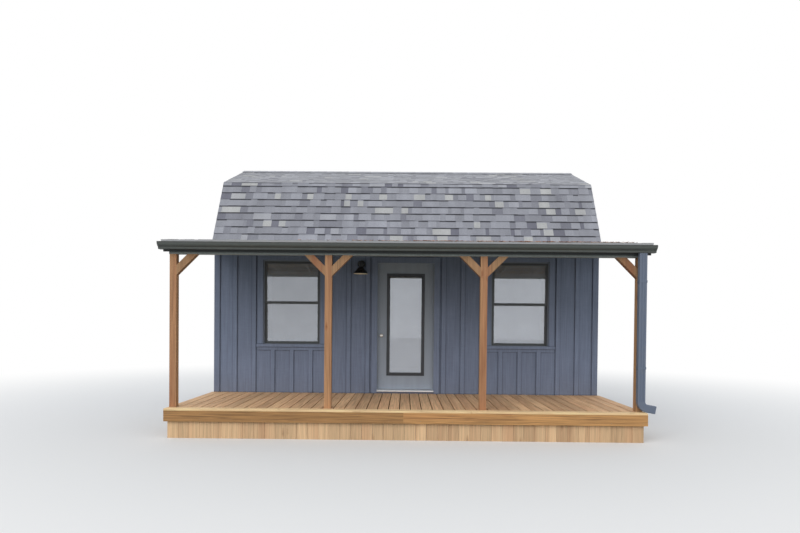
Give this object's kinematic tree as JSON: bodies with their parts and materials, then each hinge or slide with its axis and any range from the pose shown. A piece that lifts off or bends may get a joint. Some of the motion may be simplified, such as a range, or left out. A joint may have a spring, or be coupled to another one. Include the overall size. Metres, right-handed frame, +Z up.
{
  "type": "boathouse",
  "caption": "Board-and-batten boathouse cabin with a gambrel shingle roof, a full-width timber porch, a glazed door, sash windows, gutter and downspout.",
  "frame": {"origin": "on the ground, under the middle foundation block at the centre of the cabin's floor plan", "axes": "+X along the front to the right as seen from the porch side, +Y from the porch to the rear wall, +Z up"},
  "size_m": [6.4446, 5.68, 4.4088],
  "materials": {
    "concrete": "rough cast concrete",
    "framing_wood": "treated softwood, sawn",
    "floor_wood": "plywood floor",
    "siding_paint": "blue-grey satin paint on rough sawn panels",
    "corner_paint": "lighter blue-grey satin paint",
    "roof_panels": "rafters, sheathing and plain lining",
    "porch_sheathing": "bare sheathing",
    "shingles": "granule-faced asphalt shingles",
    "eave_paint": "charcoal paint on wood",
    "cedar": "reddish cedar, clear finish",
    "gutter_paint": "charcoal enamel on formed aluminium",
    "downspout_paint": "blue-grey enamel on formed aluminium",
    "deck_wood": "brown deck boards",
    "fascia_wood": "reddish brown rim boards",
    "skirt_wood": "pale vertical boards",
    "window_dark": "dark vinyl frame",
    "glass": "clear insulated glass",
    "blind_wood": "raised slatted blind",
    "door_paint": "warm grey satin paint",
    "lite_dark": "dark glazing frame",
    "sill_aluminium": "mill finish sill",
    "nickel": "satin nickel",
    "lamp_black": "black enamel outside, cream inside",
    "bulb_glass": "frosted bulb"
  },
  "bodies": {
    "building": {"foundation_blocks": "concrete", "skids": "framing_wood", "deck_joists": "framing_wood", "porch_rafters": "framing_wood", "shed_floor": "floor_wood", "base_boards": "siding_paint", "front_wall_piers": "siding_paint", "front_wall_infills": "siding_paint", "rear_wall": "siding_paint", "gable_walls": "siding_paint", "wall_battens": "siding_paint", "door_casing": "siding_paint", "window_casings": "siding_paint", "corner_boards": "corner_paint", "rake_boards": "corner_paint", "roof_lower_panels": "roof_panels", "roof_upper_panels": "roof_panels", "porch_roof": "porch_sheathing", "shingles_lower": "shingles", "shingles_upper": "shingles", "ridge_cap": "shingles", "porch_shingles": "shingles", "eave_boards": "eave_paint", "porch_beams": "eave_paint", "porch_posts": "cedar", "knee_braces": "cedar", "gutter": "gutter_paint", "downspout": "downspout_paint", "deck_boards": "deck_wood", "deck_fascia": "fascia_wood", "skirt_boards": "skirt_wood", "window_frames": "window_dark", "window_sashes": "window_dark", "window_glass": "glass", "window_blinds": "blind_wood", "door_frame": "door_paint", "door_stops": "door_paint", "threshold": "sill_aluminium", "door_hinges": "nickel", "lamp_bracket": "lamp_black", "lamp_shade": "lamp_black", "lamp_bulb": "bulb_glass"},
    "door": {"door_slab": "door_paint", "door_lite_frame": "lite_dark", "door_glass": "glass", "door_hardware": "nickel"},
    "knob": {"door_knob": "nickel"}
  },
  "joints": [
    {"name": "door_swing", "type": "hinge", "parent": "building", "child": "door", "pos_m": [0.4605, -1.719, 1.467], "axis": [0, 0, -1], "range_deg": [0, 110]},
    {"name": "knob_turn", "type": "hinge", "parent": "door", "child": "knob", "pos_m": [-0.39, -1.749, 1.316], "axis": [0, 1, 0], "range_deg": [-60, 60], "stiffness_Nm_per_rad": 0.3}
  ]
}
